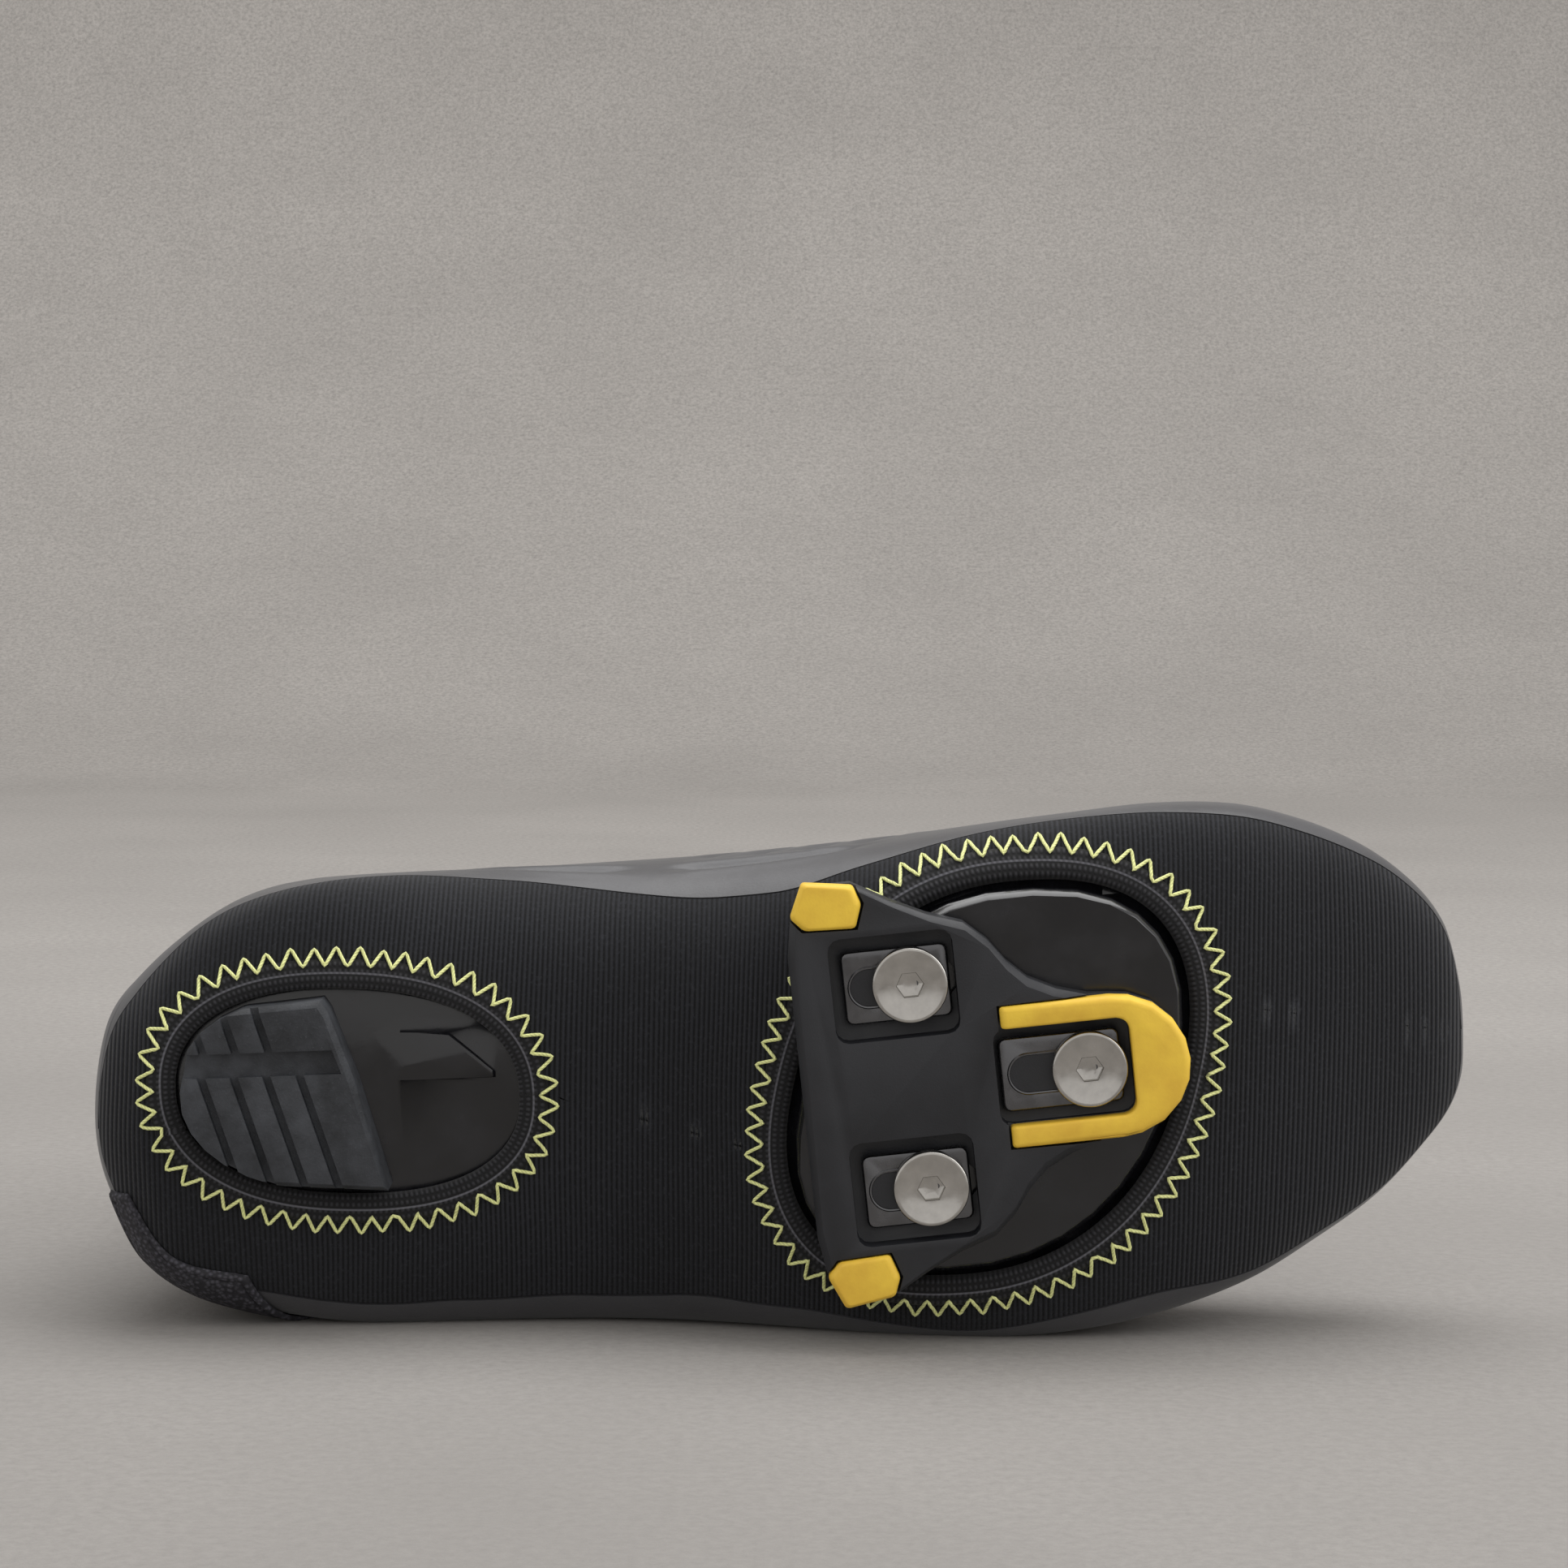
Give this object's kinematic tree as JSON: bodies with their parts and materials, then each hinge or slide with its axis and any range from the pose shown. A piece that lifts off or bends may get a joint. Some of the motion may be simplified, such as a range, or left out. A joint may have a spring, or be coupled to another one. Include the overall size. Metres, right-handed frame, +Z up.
{
  "type": "cycling overshoe",
  "caption": "Left cycling overshoe over a stiff road sole with its cleat, lying on its outer side with the underfoot cut-outs in view.",
  "frame": {"origin": "middle of the box of the whole part, on the floor under it", "axes": "+X from heel to toe, +Y from the sole to the cuff, +Z up from the floor, from the outer side of the foot to its inner side"},
  "size_m": [0.2444, 0.1588, 0.0933],
  "materials": {
    "cover_fabric": "smooth coated stretch fabric, dark grey with a soft sheen",
    "ribbed_knit": "heavy ribbed knit, black, ribs across the foot",
    "elastic_binding": "folded elastic tape, black",
    "tab_fabric": "textured reinforcement fabric, edge stitched",
    "sole_plastic": "moulded stiff sole, glossy black",
    "heel_rubber": "moulded rubber, matt, scuffed",
    "insole_fabric": "plain foam with a fabric top",
    "cleat_plastic": "moulded plastic, fine grain",
    "cleat_pad_plastic": "soft moulded plastic, yellow",
    "washer_steel": "black nickel plated steel, bright at its edges",
    "bolt_steel": "zinc plated steel, dished head"
  },
  "bodies": {
    "root": {"upper": "cover_fabric", "underfoot_panel": "ribbed_knit", "heel_opening_binding": "elastic_binding", "forefoot_opening_binding": "elastic_binding", "heel_tab": "tab_fabric", "outsole": "sole_plastic", "heel_pad": "heel_rubber", "insole": "insole_fabric", "cleat_body": "cleat_plastic", "cleat_pad_medial": "cleat_pad_plastic", "cleat_pad_lateral": "cleat_pad_plastic", "cleat_pad_nose": "cleat_pad_plastic", "cleat_washer_medial": "washer_steel", "cleat_washer_lateral": "washer_steel", "cleat_washer_nose": "washer_steel", "cleat_bolt_medial": "bolt_steel", "cleat_bolt_lateral": "bolt_steel", "cleat_bolt_nose": "bolt_steel"}
  },
  "joints": []
}
